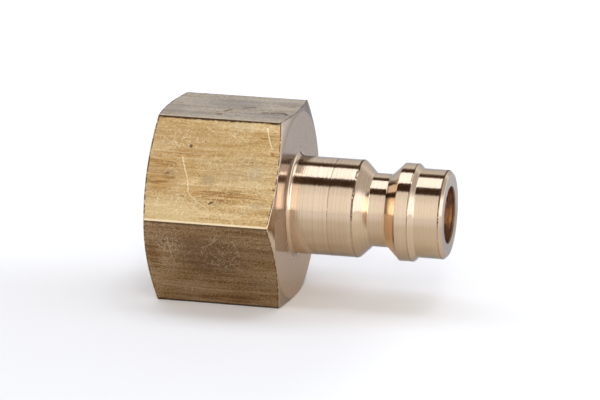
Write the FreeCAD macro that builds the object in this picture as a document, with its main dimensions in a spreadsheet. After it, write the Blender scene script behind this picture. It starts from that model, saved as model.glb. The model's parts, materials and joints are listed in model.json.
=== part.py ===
"""Plug half of a small quick disconnect coupler: one brass turning made from hexagonal bar.

The part lies along the X axis with two flats of its hexagon level, so that +Z is up when it rests on
a flat. The origin is where the axis crosses the shoulder, the face that the plug's neck grows from.
The neck points along +X: guide shank, lock groove, lock collar and sealing tip. Behind the shoulder
the hexagon runs along -X to the threaded port, and the bore goes right through from port to tip.
"""
import FreeCAD
import Part
import Sketcher
import math
import os

# Driving dimensions, in millimetres and degrees: name, value, what it is.
SIZES = [
    ("thread_major_diameter", 13.157, "major diameter of the quarter-inch parallel pipe thread"),
    ("thread_pitch", 1.337, "pitch of that thread, nineteen to the inch"),
    ("port_wall", 1.9215, "wall outside the thread, which makes the hexagon 17 across its flats"),
    ("port_depth", 9.8, "depth of the port at the tapping drill's full diameter"),
    ("port_mouth_margin", 0.15, "how far the port's countersink reaches outside the thread"),
    ("drill_point_angle", 118.0, "included angle of the tapping drill's point"),
    ("shoulder_wall", 2.2, "from the end of the drill's full diameter to the shoulder"),
    ("bar_corner_radius", 0.25, "rounding that the drawn bar has on its six corners"),
    ("end_face_inset", 0.1, "how far the turned end faces stay inside the flats"),
    ("end_chamfer_angle", 15.0, "angle of the hexagon's end chamfers to its end faces"),
    ("bore_diameter", 5.0, "flow passage through the plug"),
    ("bore_mouth_chamfer", 0.1, "broken edge where the bore leaves the tip"),
    ("groove_wall", 0.8, "wall left between the bore and the floor of the lock groove"),
    ("groove_depth", 1.1, "from the floor of the lock groove up to the shank and the collar"),
    ("groove_floor_width", 1.5, "flat floor of the lock groove"),
    ("flank_angle", 44.0, "angle to the axis of the groove's two flanks and the collar's front"),
    ("root_radius", 0.35, "fillet between the shoulder and the shank"),
    ("shank_length", 6.0, "from the shoulder to the shank's corner at the lock groove"),
    ("shank_corner_radius", 0.4, "rounding of that corner, where the lock balls roll over"),
    ("collar_crest_width", 1.2, "cylindrical crest of the lock collar"),
    ("collar_corner_radius", 0.15, "rounding of the collar's front corner"),
    ("tip_setback", 0.4, "how far the sealing tip's wall stands below the collar's crest"),
    ("tip_length", 2.55, "sealing tip, from the foot of the collar to its end face"),
    ("tip_chamfer", 0.28, "broken outer edge of the sealing tip"),
]

# Derived sizes that several features need, each written once as an expression on the sheet.
BAR_INRADIUS = "(Sizes.thread_major_diameter / 2 + Sizes.port_wall)"
BAR_LENGTH = "(Sizes.port_depth + Sizes.shoulder_wall)"
END_FACE_RADIUS = f"({BAR_INRADIUS} - Sizes.end_face_inset)"
TAP_RADIUS = "(Sizes.thread_major_diameter - Sizes.thread_pitch) / 2"
PORT_MOUTH_RADIUS = "(Sizes.thread_major_diameter / 2 + Sizes.port_mouth_margin)"
BORE_RADIUS = "Sizes.bore_diameter / 2"
GROOVE_RADIUS = f"({BORE_RADIUS} + Sizes.groove_wall)"
SHANK_RADIUS = f"({GROOVE_RADIUS} + Sizes.groove_depth)"
TIP_RADIUS = f"({SHANK_RADIUS} - Sizes.tip_setback)"

# Where the neck's corners lie along X, each measured on from the one before.
SHOULDER = "0"
FLANK_LENGTH = "Sizes.groove_depth / tan(Sizes.flank_angle)"
SHANK_END = "Sizes.shank_length"
GROOVE_START = f"{SHANK_END} + {FLANK_LENGTH}"
GROOVE_END = f"{GROOVE_START} + Sizes.groove_floor_width"
COLLAR_START = f"{GROOVE_END} + {FLANK_LENGTH}"
COLLAR_END = f"{COLLAR_START} + Sizes.collar_crest_width"
TIP_START = f"{COLLAR_END} + Sizes.tip_setback / tan(Sizes.flank_angle)"
TIP_END = f"{TIP_START} + Sizes.tip_length"

SKETCH_AXES = {"along": -1, "out": -2}      # Sketcher's own numbers for a sketch's two axes
TOUCH = 1e-4                                # lengths closer than this, in millimetres, are the same


def size_sheet(doc):
    """The spreadsheet that every feature reads its sizes from."""
    sheet = doc.addObject("Spreadsheet::Sheet", "Sizes")
    for row, (name, value, meaning) in enumerate(SIZES, start=1):
        sheet.set(f"A{row}", name)
        sheet.set(f"B{row}", str(value))
        sheet.set(f"C{row}", meaning)
        sheet.setAlias(f"B{row}", name)
    doc.recompute()


def worked_out(item, expression):
    """What an expression comes to now, as a plain number."""
    return float(item.evalExpression(expression))


def new_sketch(body, name, plane):
    """An empty sketch on one of the body's own origin planes."""
    sketch = body.newObject("Sketcher::SketchObject", name)
    for feature in body.Origin.OriginFeatures:
        if feature.Role == plane:
            sketch.AttachmentSupport = [(feature, "")]
    sketch.MapMode = "FlatFace"
    return sketch


def origin_point():
    """How a constraint names the sketch's origin."""
    return SKETCH_AXES["along"], 1


def start_of(line):
    """How a constraint names the point where a line starts."""
    return line, 1


def end_of(line):
    """How a constraint names the point where a line ends."""
    return line, 2


def centre_of(circle):
    """How a constraint names a circle's centre."""
    return circle, 3


def closed_outline(sketch, corners):
    """Joins the corners with straight lines into one closed outline and returns the lines' numbers."""
    lines = []
    for start, end in zip(corners, corners[1:] + corners[:1]):
        segment = Part.LineSegment(FreeCAD.Vector(*start, 0), FreeCAD.Vector(*end, 0))
        lines.append(sketch.addGeometry(segment))
    for line, following in zip(lines, lines[1:] + lines[:1]):
        sketch.addConstraint(Sketcher.Constraint("Coincident", *end_of(line), *start_of(following)))
    return lines


def bound(sketch, constraint, name, expression):
    """Adds a named constraint whose value follows an expression on the sheet."""
    number = sketch.addConstraint(constraint)
    sketch.renameConstraint(number, name)
    sketch.setExpression(f"Constraints.{name}", expression)


def turned_section(body, name, corners):
    """A closed half-section on the XZ plane.

    Each corner has a name, a place along X and a radius, the last two as expressions. None puts the
    corner on the shoulder plane or on the axis.
    """
    sketch = new_sketch(body, name, "XZ_Plane")
    places = [
        tuple(0.0 if text is None else worked_out(sketch, text) for text in (along, out))
        for _, along, out in corners
    ]
    lines = closed_outline(sketch, places)
    for line, (x, r), (corner, along, out) in zip(lines, places, corners):
        if along is None:
            sketch.addConstraint(Sketcher.Constraint("PointOnObject", *start_of(line), SKETCH_AXES["out"]))
        else:
            distance = Sketcher.Constraint("DistanceX", *origin_point(), *start_of(line), x)
            bound(sketch, distance, f"{corner}_x", along)
        if out is None:
            sketch.addConstraint(Sketcher.Constraint("PointOnObject", *start_of(line), SKETCH_AXES["along"]))
        else:
            distance = Sketcher.Constraint("DistanceY", *origin_point(), *start_of(line), r)
            bound(sketch, distance, f"{corner}_r", out)
    return sketch


def turn(body, kind, name, section):
    """Takes a half-section round the X axis: a Revolution adds the solid, a Groove cuts it away."""
    feature = body.newObject(kind, name)
    feature.Profile = section
    feature.ReferenceAxis = (section, ["H_Axis"])
    feature.Angle = 360
    return feature


def runs_along_x(edge):
    """Whether an edge is one of the bar's long corners."""
    return abs(edge.tangentAt(edge.FirstParameter).x) > 1 - TOUCH


def ring(along, out):
    """A test for the full circle about the X axis at that station and radius."""
    def fits(edge):
        curve = edge.Curve
        if not isinstance(curve, Part.Circle):
            return False
        return abs(curve.Center.x - along) < TOUCH and abs(curve.Radius - out) < TOUCH
    return fits


def break_edges(doc, body, kind, name, fits, size):
    """A Fillet or Chamfer on those edges of the body's last feature that the test accepts."""
    doc.recompute()
    base = body.Tip
    edges = [f"Edge{n}" for n, edge in enumerate(base.Shape.Edges, start=1) if fits(edge)]
    if not edges:
        raise RuntimeError(f"{name} finds no edge to work on")
    feature = body.newObject(f"PartDesign::{kind}", name)
    feature.Base = (base, edges)
    feature.setExpression("Radius" if kind == "Fillet" else "Size", size)


def hexagonal_bar(doc, body):
    """The bar stock behind the shoulder, with its six drawn corners rounded."""
    section = new_sketch(body, "bar_section", "YZ_Plane")
    corner_reach = f"{BAR_INRADIUS} / cos(30)"
    reach = worked_out(section, corner_reach)
    directions = [math.radians(60 * n) for n in range(6)]
    sides = closed_outline(section, [(reach * math.cos(a), reach * math.sin(a)) for a in directions])
    rim = section.addGeometry(Part.Circle(FreeCAD.Vector(), FreeCAD.Vector(0, 0, 1), reach), True)
    section.addConstraint(Sketcher.Constraint("Coincident", *centre_of(rim), *origin_point()))
    for side in sides:
        section.addConstraint(Sketcher.Constraint("PointOnObject", *start_of(side), rim))
    for side in sides[1:]:
        section.addConstraint(Sketcher.Constraint("Equal", sides[0], side))
    section.addConstraint(Sketcher.Constraint("Horizontal", sides[1]))
    bound(section, Sketcher.Constraint("Radius", rim, reach), "corner_reach", corner_reach)

    bar = body.newObject("PartDesign::Pad", "bar")
    bar.Profile = section
    bar.Reversed = True
    bar.setExpression("Length", BAR_LENGTH)
    break_edges(doc, body, "Fillet", "bar_corners", runs_along_x, "Sizes.bar_corner_radius")


def end_chamfers(body):
    """The cones that take the corners off both ends of the hexagon and leave its curved edges.

    Each starts at an end face's rim and reaches back along the bar, out past its corners.
    """
    clear = f"2 * {BAR_INRADIUS}"
    reach = f"({clear} - {END_FACE_RADIUS}) * tan(Sizes.end_chamfer_angle)"
    shoulder_end = turned_section(body, "shoulder_chamfer_section", [
        ("rim", None, END_FACE_RADIUS),
        ("above_rim", None, clear),
        ("far_corner", f"-{reach}", clear),
    ])
    turn(body, "PartDesign::Groove", "shoulder_chamfer", shoulder_end)
    port_end = turned_section(body, "port_chamfer_section", [
        ("rim", f"-{BAR_LENGTH}", END_FACE_RADIUS),
        ("above_rim", f"-{BAR_LENGTH}", clear),
        ("far_corner", f"-{BAR_LENGTH} + {reach}", clear),
    ])
    turn(body, "PartDesign::Groove", "port_chamfer", port_end)


def neck(doc, body):
    """The turned plug: shank, lock groove, lock collar and sealing tip, with their edges broken."""
    section = turned_section(body, "neck_section", [
        ("root_centre", None, None),
        ("root", None, SHANK_RADIUS),
        ("shank_end", SHANK_END, SHANK_RADIUS),
        ("groove_start", GROOVE_START, GROOVE_RADIUS),
        ("groove_end", GROOVE_END, GROOVE_RADIUS),
        ("collar_start", COLLAR_START, SHANK_RADIUS),
        ("collar_end", COLLAR_END, SHANK_RADIUS),
        ("tip_start", TIP_START, TIP_RADIUS),
        ("tip_end", TIP_END, TIP_RADIUS),
        ("tip_centre", TIP_END, None),
    ])
    turn(body, "PartDesign::Revolution", "neck", section)
    broken_edges = [
        ("root_fillet", "Fillet", SHOULDER, SHANK_RADIUS, "Sizes.root_radius"),
        ("shank_corner", "Fillet", SHANK_END, SHANK_RADIUS, "Sizes.shank_corner_radius"),
        ("collar_corner", "Fillet", COLLAR_END, SHANK_RADIUS, "Sizes.collar_corner_radius"),
        ("tip_edge", "Chamfer", TIP_END, TIP_RADIUS, "Sizes.tip_chamfer"),
    ]
    for name, kind, along, out, size in broken_edges:
        place = ring(worked_out(section, along), worked_out(section, out))
        break_edges(doc, body, kind, name, place, size)


def passage(body):
    """All that is drilled: the port's countersink, tapping drill and point, and the bore to the tip."""
    port_end = f"-{BAR_LENGTH}"
    drill_end = "-Sizes.shoulder_wall"
    section = turned_section(body, "passage_section", [
        ("mouth_centre", port_end, None),
        ("mouth", port_end, PORT_MOUTH_RADIUS),
        ("countersink_end", f"{port_end} + {PORT_MOUTH_RADIUS} - {TAP_RADIUS}", TAP_RADIUS),
        ("drill_end", drill_end, TAP_RADIUS),
        ("point_end", f"{drill_end} + ({TAP_RADIUS} - {BORE_RADIUS}) / tan(Sizes.drill_point_angle / 2)",
         BORE_RADIUS),
        ("bore_end", f"{TIP_END} - Sizes.bore_mouth_chamfer", BORE_RADIUS),
        ("bore_mouth", TIP_END, f"{BORE_RADIUS} + Sizes.bore_mouth_chamfer"),
        ("tip_centre", TIP_END, None),
    ])
    turn(body, "PartDesign::Groove", "passage", section)


def plug_body(doc):
    """The one piece: hexagonal bar, its end chamfers, the turned neck and the drilled passage."""
    body = doc.addObject("PartDesign::Body", "PlugBody")
    body.Label = "plug_body"
    hexagonal_bar(doc, body)
    end_chamfers(body)
    neck(doc, body)
    passage(body)
    doc.recompute()
    return body


def check(doc, pieces):
    """Stops before anything is written if a feature failed or a piece isn't one sound solid."""
    for item in doc.Objects:
        if "Invalid" in item.State or "Error" in item.State:
            raise RuntimeError(f"{item.Label} failed: {item.State}")
    for piece in pieces:
        shape = piece.Shape
        if shape.isNull() or not shape.isValid() or len(shape.Solids) != 1:
            raise RuntimeError(f"{piece.Label} is not one valid solid")


def main():
    doc = FreeCAD.newDocument("coupler_plug")
    size_sheet(doc)
    pieces = [plug_body(doc)]
    check(doc, pieces)
    os.makedirs("parts", exist_ok=True)
    for piece in pieces:
        piece.Shape.exportStep(os.path.join("parts", f"{piece.Label}.step"))
        print(f"{piece.Label}: {piece.Shape.Volume:.1f} mm3, {len(piece.Shape.Faces)} faces")


main()
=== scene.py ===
# %% [markdown]
# # A brass coupler plug, from bar to bench
#
# The part is the male half of a small quick disconnect coupler. A lathe made it in one setting from
# hexagonal brass bar, so it is a single piece: a hexagon with a threaded port in it, then a slim neck
# that a socket locks on to. This lesson gives the CAD body its looks. It builds one mesh from the
# part's half-section, gives it two finishes, and lights it as a small thing is lit on a white table.
#
# Everything is in metres and in the CAD model's own frame. The axis is X, the shoulder that the neck
# grows from is at X = 0, and +Z is up.

# %% Load the frame and read its sizes
import bmesh
import bpy
import json
import math
from mathutils import Matrix, Vector


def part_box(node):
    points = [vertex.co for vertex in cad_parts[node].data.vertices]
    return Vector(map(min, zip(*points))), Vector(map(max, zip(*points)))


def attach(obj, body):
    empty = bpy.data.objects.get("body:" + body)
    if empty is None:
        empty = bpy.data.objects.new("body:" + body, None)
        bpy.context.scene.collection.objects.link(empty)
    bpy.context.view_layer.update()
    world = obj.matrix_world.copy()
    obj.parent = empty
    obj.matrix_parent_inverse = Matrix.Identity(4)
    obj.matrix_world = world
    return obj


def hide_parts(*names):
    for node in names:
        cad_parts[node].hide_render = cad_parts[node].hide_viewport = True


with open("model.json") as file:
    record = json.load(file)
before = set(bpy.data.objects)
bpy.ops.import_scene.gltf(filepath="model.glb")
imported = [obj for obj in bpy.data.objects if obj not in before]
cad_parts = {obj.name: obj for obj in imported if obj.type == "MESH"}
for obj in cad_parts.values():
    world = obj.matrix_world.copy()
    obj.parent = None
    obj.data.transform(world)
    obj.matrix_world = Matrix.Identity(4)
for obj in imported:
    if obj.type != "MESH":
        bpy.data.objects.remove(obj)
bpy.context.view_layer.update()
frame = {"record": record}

MM = 0.001
low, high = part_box("plug_body")
mounts = {mount["name"]: mount for mount in frame["record"]["mounts"]}

PORT_FACE = low.x                        # the hexagon's open end
SHOULDER = 0.0                           # the hexagon's other end, where the neck starts
TIP_FACE = high.x                        # the far end of the neck
FLAT_RADIUS = high.z                     # from the axis to a flat, half the spanner size
DRILL_RADIUS = mounts["port_thread"]["dims"]["r_mm"] * MM
BORE_RADIUS = mounts["flow_bore"]["dims"]["r_mm"] * MM
SHANK_RADIUS = mounts["plug_shank"]["dims"]["r_mm"] * MM
TIP_RADIUS = mounts["plug_tip"]["dims"]["r_mm"] * MM
print(f"hexagon {FLAT_RADIUS / MM * 2:.1f} mm across flats, {(TIP_FACE - PORT_FACE) / MM:.1f} mm overall")

# %% [markdown]
# ## Formulas that turn into nodes
#
# Both the mesh and the finishes are worked out by nodes, and most of those nodes are plain maths.
# Wiring them one by one hides the formula. A small class wraps a socket instead, and lets Python's own
# operators add the Math nodes, so that 1 - mask reads like what it does. Every other node comes from
# one method, which takes the node's type, its settings and what goes into its sockets.

# %% A socket that can stand in a formula
class Term:
    """One output socket. Arithmetic on it adds Math nodes to its tree."""

    def __init__(self, bench, socket):
        self.bench = bench
        self.socket = socket

    def maths(self, operation, *others):
        """A Math node, with this term as its first number."""
        return self.bench.maths(operation, self, *others)

    def __add__(self, other):
        return self.maths("ADD", other)

    def __sub__(self, other):
        return self.maths("SUBTRACT", other)

    def __rsub__(self, other):
        return self.bench.maths("SUBTRACT", other, self)

    def __mul__(self, other):
        return self.maths("MULTIPLY", other)

    def __truediv__(self, other):
        return self.maths("DIVIDE", other)

    def __pow__(self, other):
        return self.maths("POWER", other)

    __radd__ = __add__
    __rmul__ = __mul__

    def clamp(self, least, most):
        """The term, kept from going below the least or above the most."""
        return self.maths("MAXIMUM", least).maths("MINIMUM", most)

    def rising(self, start, end, first=0.0, last=1.0):
        """0 at start and 1 at end, with a smooth step between them."""
        sockets = {"Value": self, "From Min": start, "From Max": end, "To Min": first, "To Max": last}
        return self.bench.node("ShaderNodeMapRange", {"interpolation_type": "SMOOTHSTEP"}, sockets)

    def falling(self, start, end):
        """1 at start and 0 at end."""
        return self.rising(start, end, 1.0, 0.0)

    def near(self, centre, reach, softness):
        """1 within reach of centre, and 0 beyond it, over a soft border."""
        return (self - centre).maths("ABSOLUTE").falling(reach - softness / 2, reach + softness / 2)

    def or_else(self, other):
        """The larger of the two."""
        return self.maths("MAXIMUM", other)


print("a term can stand in a formula")

# %% A tree to work in
class Bench:
    """Adds nodes to one tree."""

    def __init__(self, tree):
        self.tree = tree

    def node(self, kind, settings=None, sockets=None, output=0):
        """A new node's output, once its settings are made and its sockets are filled or linked."""
        made = self.tree.nodes.new(kind)
        for name, value in (settings or {}).items():
            if name == "stops":
                self.set_stops(made.color_ramp, value)
            else:
                setattr(made, name, value)
        for key, value in (sockets or {}).items():
            if isinstance(value, Term):
                self.tree.links.new(value.socket, made.inputs[key])
            else:
                made.inputs[key].default_value = value
        return Term(self, made.outputs[output]) if made.outputs else made

    def set_stops(self, ramp, stops):
        """Gives a colour ramp its stops, each a place from 0 to 1 and a colour."""
        while len(ramp.elements) < len(stops):
            ramp.elements.new(1.0)
        for element, (place, colour) in zip(ramp.elements, stops):
            element.position = place
            element.color = (*colour, 1.0)

    def maths(self, operation, *values):
        """A Math node."""
        return self.node("ShaderNodeMath", {"operation": operation}, dict(enumerate(values)))

    def vector(self, x, y, z):
        """A vector from its three numbers."""
        return self.node("ShaderNodeCombineXYZ", None, {"X": x, "Y": y, "Z": z})

    def parts(self, vector):
        """The three numbers of a vector."""
        split = self.node("ShaderNodeSeparateXYZ", None, {"Vector": vector}).socket.node
        return [Term(self, socket) for socket in split.outputs]


print("a bench adds the nodes that a formula needs")

# %% [markdown]
# ## The half-section
#
# A turned part is known by the outline that its tools cut: half of a lengthwise slice. Here it runs
# from the shoulder's rim along the neck to the tip and back down the bore. Real edges are never sharp,
# and a sharp edge in a render looks like plastic, so each corner of the outline has its own small
# radius. The points just before and after a corner keep the straight runs straight, because smooth
# shading bends the light over the whole stretch between two points.

# %% Lengths along the neck
LOCK_FLANK = math.radians(44)            # how steep the lock groove's sides are
GROOVE_RADIUS = 3.3 * MM                 # from the axis to the bottom of that groove
flank_length = (SHANK_RADIUS - GROOVE_RADIUS) / math.tan(LOCK_FLANK)
shank_end = 6.0 * MM
groove_start = shank_end + flank_length
groove_end = groove_start + 1.5 * MM
collar_start = groove_end + flank_length
collar_end = collar_start + 1.2 * MM
tip_start = collar_end + (SHANK_RADIUS - TIP_RADIUS) / math.tan(LOCK_FLANK)

END_FACE_RADIUS = FLAT_RADIUS - 0.1 * MM
TIP_CHAMFER = 0.28 * MM
BORE_CHAMFER = 0.1 * MM
TOOL_MARK = 3.7 * MM                     # where the tool dwelt on the shank and left a ring
TOOL_MARK_DEPTH = 0.015 * MM

DRILL_POINT = math.radians(59)           # half of the drill's 118 degrees
drill_end = -2.2 * MM
THREAD_END = drill_end - 0.1 * MM
point_end = drill_end + (DRILL_RADIUS - BORE_RADIUS) / math.tan(DRILL_POINT)
print(f"collar from {collar_start / MM:.2f} to {collar_end / MM:.2f} mm, tip from {tip_start / MM:.2f} mm")

# %% The neck's corners: place along the axis, radius from the axis, and rounding
BROKEN = 0.04 * MM                       # an edge that was only deburred

neck_corners = [
    (SHOULDER, END_FACE_RADIUS, 0),
    (SHOULDER, END_FACE_RADIUS - 0.03 * MM, 0),
    (SHOULDER, SHANK_RADIUS, 0.35 * MM),
    (TOOL_MARK - 0.12 * MM, SHANK_RADIUS, 0),
    (TOOL_MARK - 0.05 * MM, SHANK_RADIUS, 0),
    (TOOL_MARK, SHANK_RADIUS - TOOL_MARK_DEPTH, 0),
    (TOOL_MARK + 0.05 * MM, SHANK_RADIUS, 0),
    (TOOL_MARK + 0.12 * MM, SHANK_RADIUS, 0),
    (shank_end, SHANK_RADIUS, 0.4 * MM),
    (groove_start, GROOVE_RADIUS, 0.1 * MM),
    (groove_end, GROOVE_RADIUS, 0.1 * MM),
    (collar_start, SHANK_RADIUS, BROKEN),
    (collar_end, SHANK_RADIUS, 0.15 * MM),
    (tip_start, TIP_RADIUS, 0.1 * MM),
    (TIP_FACE - TIP_CHAMFER, TIP_RADIUS, 0.08 * MM),
    (TIP_FACE, TIP_RADIUS - TIP_CHAMFER, 0.08 * MM),
    (TIP_FACE, BORE_RADIUS + BORE_CHAMFER, BROKEN),
    (TIP_FACE - BORE_CHAMFER, BORE_RADIUS, BROKEN),
    (point_end, BORE_RADIUS, BROKEN),
    (drill_end, DRILL_RADIUS, BROKEN),
    (THREAD_END, DRILL_RADIUS, 0),
]
round_ones = sum(rounding > 0 for _, _, rounding in neck_corners)
print(f"{len(neck_corners)} corners, {round_ones} of them rounded")

# %% Round the corners
def rounded(before, corner, after, radius, steps=5, hold=0.05 * MM):
    """The arc that replaces a corner, with one point to hold the straight run on each side."""
    towards_before = (before - corner).normalized()
    towards_after = (after - corner).normalized()
    half = towards_before.angle(towards_after) / 2
    reach = radius / math.tan(half)
    centre = corner + (towards_before + towards_after).normalized() * radius / math.sin(half)
    start = (corner + towards_before * reach - centre).normalized()
    end = (corner + towards_after * reach - centre).normalized()
    arc = [centre + radius * start.slerp(end, step / steps) for step in range(steps + 1)]
    return [arc[0] + towards_before * hold, *arc, arc[-1] + towards_after * hold]


def outline(corners):
    """The corners as points, in order, with each corner that has a radius rounded."""
    places = [Vector((x, radius)) for x, radius, _ in corners]
    points = []
    for number, (_, _, rounding) in enumerate(corners):
        if rounding:
            points += rounded(*places[number - 1:number + 2], rounding)
        else:
            points.append(places[number])
    return points


neck_points = outline(neck_corners)
print(f"{len(neck_points)} points from the shoulder's rim to the end of the drilled hole")

# %% [markdown]
# ## The port's thread
#
# The port is tapped for a quarter-inch parallel pipe thread, 1.337 mm from one turn to the next. A
# thread made by stacking rings would break into steps, and one laid on as a bump would vanish at the
# port's mouth, where it shows most. So these points of the section are different: each one winds
# forward by one pitch as it goes round, and together they follow the helix. Points lie close on both
# sides of every corner of the thread's profile. Those that would leave the threaded length stay at its
# end, one on top of the other, and are merged later.

# %% The profile of one turn
PITCH = 1.337 * MM
MAJOR_RADIUS = 13.157 * MM / 2
PITCH_RADIUS = 12.301 * MM / 2
THREAD_FLANK = math.radians(27.5)        # half of the profile's 55 degrees
MOUTH_RADIUS = 6.73 * MM                 # the countersink's, in the port face
THREAD_START = PORT_FACE + 0.1 * MM


def groove_half_width(radius):
    """Half of the groove's width along the axis, at a distance from the axis."""
    return PITCH / 4 - (radius - PITCH_RADIUS) * math.tan(THREAD_FLANK)


root, crest = groove_half_width(MAJOR_RADIUS), groove_half_width(DRILL_RADIUS)
beside = 0.016 * MM                      # how close two points lie to a corner, one on each side
half_turn = [root - beside, root + beside, (root + crest) / 2, crest - beside, crest + beside]
one_turn = [-place for place in half_turn] + [0.0, *half_turn, PITCH / 2]
turns = math.ceil((THREAD_END - THREAD_START) / PITCH) + 1
tap_places = [THREAD_START + turn * PITCH + place for turn in range(-1, turns) for place in one_turn]
tap_places.sort(reverse=True)
thread_turns = (THREAD_END - THREAD_START) / PITCH
print(f"{len(tap_places)} points wind through {thread_turns:.1f} turns of thread")

# %% [markdown]
# ## The bar's ends
#
# Six points of the section at each end of the hexagon don't keep one radius, because they follow the
# bar's flats. The lathe chamfered both ends at 15 degrees. Where that cone meets a flat it leaves the
# curved edge that every nut and fitting has, low at the corners and high in the middle of the flats.
# Each such point says which end it belongs to and how far it has come round the soft edge, from -1 on
# the cone to 1 on the flat. The nodes work out the rest for each direction.

# %% All points of the section, in order round it
BY_LATHE, BY_TAP, BY_DIE = 0, 1, 2       # what shaped the point: the lathe, the tap or the drawing die
END_ANGLE = math.radians(15)
EDGE_TURNS = (-1.0, -0.5, 0.0, 0.5, 1.0)  # the soft edge's points, from the cone to the flat
RIM = 0.02 * MM                          # the cone's first narrow band, next to the end face
cone_rise = RIM * math.tan(END_ANGLE)
HOLD_INSET = 0.1 * MM                    # from the end to the point that holds the flat straight

port_points = outline([
    (THREAD_START, MOUTH_RADIUS - THREAD_START + PORT_FACE, 0),
    (PORT_FACE, MOUTH_RADIUS, BROKEN),
    (PORT_FACE, END_FACE_RADIUS - 0.03 * MM, 0),
    (PORT_FACE, END_FACE_RADIUS, 0),
    (PORT_FACE + cone_rise, END_FACE_RADIUS + RIM, 0),
])

section = [(x, radius, BY_LATHE, 0, 0.0) for x, radius in neck_points]
section += [(x, DRILL_RADIUS, BY_TAP, 0, 0.0) for x in tap_places]
section += [(x, radius, BY_LATHE, 0, 0.0) for x, radius in port_points]
section += [(PORT_FACE, FLAT_RADIUS, BY_DIE, -1, turn) for turn in EDGE_TURNS]
section += [(PORT_FACE + HOLD_INSET, FLAT_RADIUS, BY_DIE, -1, 1.0)]
section += [(SHOULDER - HOLD_INSET, FLAT_RADIUS, BY_DIE, 1, 1.0)]
section += [(SHOULDER, FLAT_RADIUS, BY_DIE, 1, turn) for turn in reversed(EDGE_TURNS)]
section += [(SHOULDER - cone_rise, END_FACE_RADIUS + RIM, BY_LATHE, 0, 0.0)]
print(f"{len(section)} points in the closed half-section")

# %% Keep them as a mesh of points with attributes
section_mesh = bpy.data.meshes.new("half_section")
section_mesh.from_pydata([(x, radius, 0.0) for x, radius, _, _, _ in section], [], [])
for name, column in (("shaped_by", 2), ("bar_end", 3), ("edge_turn", 4)):
    attribute = section_mesh.attributes.new(name, "FLOAT", "POINT")
    attribute.data.foreach_set("value", [float(point[column]) for point in section])
plug = bpy.data.objects.new("plug", section_mesh)
bpy.context.scene.collection.objects.link(plug)
print("half-section laid out with", ", ".join(name for name in section_mesh.attributes.keys()))

# %% [markdown]
# ## One body from one section
#
# Turning the section about the axis is a job for a Screw modifier, but the hexagon and the helix
# aren't round. Three meshes joined by booleans would leave ragged edges in a metal that mirrors every
# fault. So Geometry Nodes make the body as one skin: a grid with a row for each point of the section
# and a column for each direction, and a formula that says where a point lies in that direction. The
# columns crowd towards the hexagon's corners, where the shape turns, and are wide on the flats.

# %% The tree's sizes, and the two finishes that it hands out
turned_brass = bpy.data.materials.new("turned_brass")
drawn_brass = bpy.data.materials.new("drawn_brass")

sizes = {
    "Columns Per Flat": 40,
    "Flat Radius": FLAT_RADIUS,
    "Corner Radius": 0.25 * MM,
    "End Face Radius": END_FACE_RADIUS,
    "End Angle": END_ANGLE,
    "Edge Rounding": 0.05 * MM,
    "Port Face": PORT_FACE,
    "Mouth Radius": MOUTH_RADIUS,
    "Drill Radius": DRILL_RADIUS,
    "Thread Start": THREAD_START,
    "Thread End": THREAD_END,
    "Thread Pitch": PITCH,
    "Pitch Radius": PITCH_RADIUS,
    "Major Radius": MAJOR_RADIUS,
    "Thread Flank": THREAD_FLANK,
    "Run Out Start": PORT_FACE + 7.8 * MM,   # from here the tap's tapered end cut less and less deep
    "Run Out Slope": 0.37,
    "Turned Finish": turned_brass,
    "Drawn Finish": drawn_brass,
}
print(len(sizes), "sizes and finishes for the tree")

# %% The tree, with a named input for each of them
kinds = {int: "NodeSocketInt", float: "NodeSocketFloat", bpy.types.Material: "NodeSocketMaterial"}

tree = bpy.data.node_groups.new("turn_the_section", "GeometryNodeTree")
tree.interface.new_socket("Geometry", in_out="INPUT", socket_type="NodeSocketGeometry")
tree.interface.new_socket("Geometry", in_out="OUTPUT", socket_type="NodeSocketGeometry")
identifiers = {
    name: tree.interface.new_socket(name, in_out="INPUT", socket_type=kinds[type(value)]).identifier
    for name, value in sizes.items()
}
bench = Bench(tree)
inputs = bench.node("NodeGroupInput").socket.node
given = {socket.name: Term(bench, socket) for socket in inputs.outputs}
print("named inputs:", ", ".join(identifiers))

# %% A grid: its rows follow the section, its columns go round the axis
def whole(operation, first, second):
    """Arithmetic on whole numbers."""
    return bench.node("FunctionNodeIntegerMath", {"operation": operation}, {0: first, 1: second})


count = bench.node("GeometryNodeAttributeDomainSize", None, {"Geometry": given["Geometry"]})
row_count = whole("ADD", count, 1)
column_count = whole("ADD", whole("MULTIPLY", given["Columns Per Flat"], 6), 1)
grid = bench.node("GeometryNodeMeshGrid", None, {"Vertices X": column_count, "Vertices Y": row_count})

index = bench.node("GeometryNodeInputIndex")
point = whole("MODULO", whole("MODULO", index, row_count), count)
column = whole("DIVIDE_FLOOR", index, row_count)
flat_number = whole("DIVIDE_FLOOR", column, given["Columns Per Flat"])
step_on_flat = whole("MODULO", column, given["Columns Per Flat"])

SIDE = math.radians(60)                  # a flat's share of the whole turn
half_side = SIDE / 2
spread = step_on_flat / given["Columns Per Flat"] * 2 - 1
swing = (spread * math.pi / 2).maths("SINE") * half_side
direction = (flat_number * 2 + 1) * half_side + swing
print("grid laid out, with each column's direction and its swing from the middle of its flat")

# %% Read the section's points and attributes by row
def sampled(kind, value):
    """What a value is at this row's point of the half-section."""
    sockets = {"Geometry": given["Geometry"], "Value": value, "Index": point}
    return bench.node("GeometryNodeSampleIndex", {"data_type": kind}, sockets)


def named(name):
    """An attribute, by its name."""
    return bench.node("GeometryNodeInputNamedAttribute", {"data_type": "FLOAT"}, {"Name": name})


def choose(condition, otherwise, value):
    """The last number where the condition holds, and the other elsewhere."""
    sockets = {"Switch": condition, "False": otherwise, "True": value}
    return bench.node("GeometryNodeSwitch", {"input_type": "FLOAT"}, sockets)


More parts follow.
